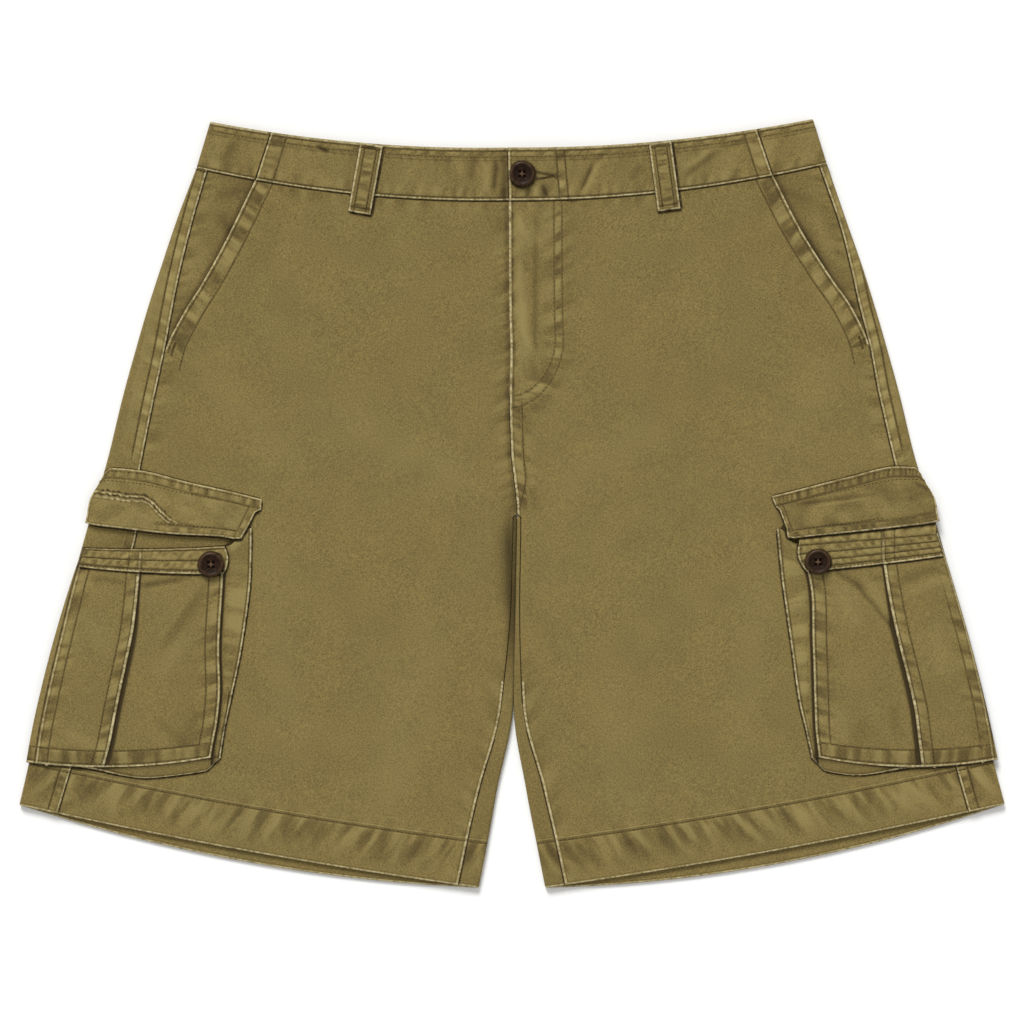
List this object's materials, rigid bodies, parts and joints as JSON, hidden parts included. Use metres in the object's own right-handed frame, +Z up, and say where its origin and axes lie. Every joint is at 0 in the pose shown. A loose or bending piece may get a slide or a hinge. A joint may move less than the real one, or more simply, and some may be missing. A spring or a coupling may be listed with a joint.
{
  "type": "cargo shorts",
  "caption": "Knee-length cotton twill cargo shorts laid flat with the front up, with a buttoned fly, slant pockets and gusseted flap pockets.",
  "frame": {"origin": "on the surface that the shorts lie on, under the middle of their bounding box", "axes": "+X to the wearer's left, +Y up the garment towards the waist, +Z up, away from the surface"},
  "size_m": [0.7276, 0.5676, 0.0132],
  "materials": {
    "cotton_twill": "garment-washed khaki olive twill, pale along its seams and edges",
    "button_resin": "dark brown resin, satin"
  },
  "bodies": {
    "root": {"back_panel_right": "cotton_twill", "back_panel_left": "cotton_twill", "front_panel_right": "cotton_twill", "front_panel_left": "cotton_twill", "hip_panel_right": "cotton_twill", "hip_panel_left": "cotton_twill", "waistband_back": "cotton_twill", "waistband_front_right": "cotton_twill", "waistband_front_left": "cotton_twill", "belt_loop_front_right": "cotton_twill", "belt_loop_front_left": "cotton_twill", "belt_loop_back_right": "cotton_twill", "belt_loop_back_centre": "cotton_twill", "belt_loop_back_left": "cotton_twill", "cargo_pocket_right": "cotton_twill", "cargo_pocket_left": "cotton_twill", "cargo_band_right": "cotton_twill", "cargo_band_left": "cotton_twill", "cargo_flap_right": "cotton_twill", "cargo_flap_left": "cotton_twill", "button_waist": "button_resin", "button_cargo_right": "button_resin", "button_cargo_left": "button_resin"}
  },
  "joints": []
}
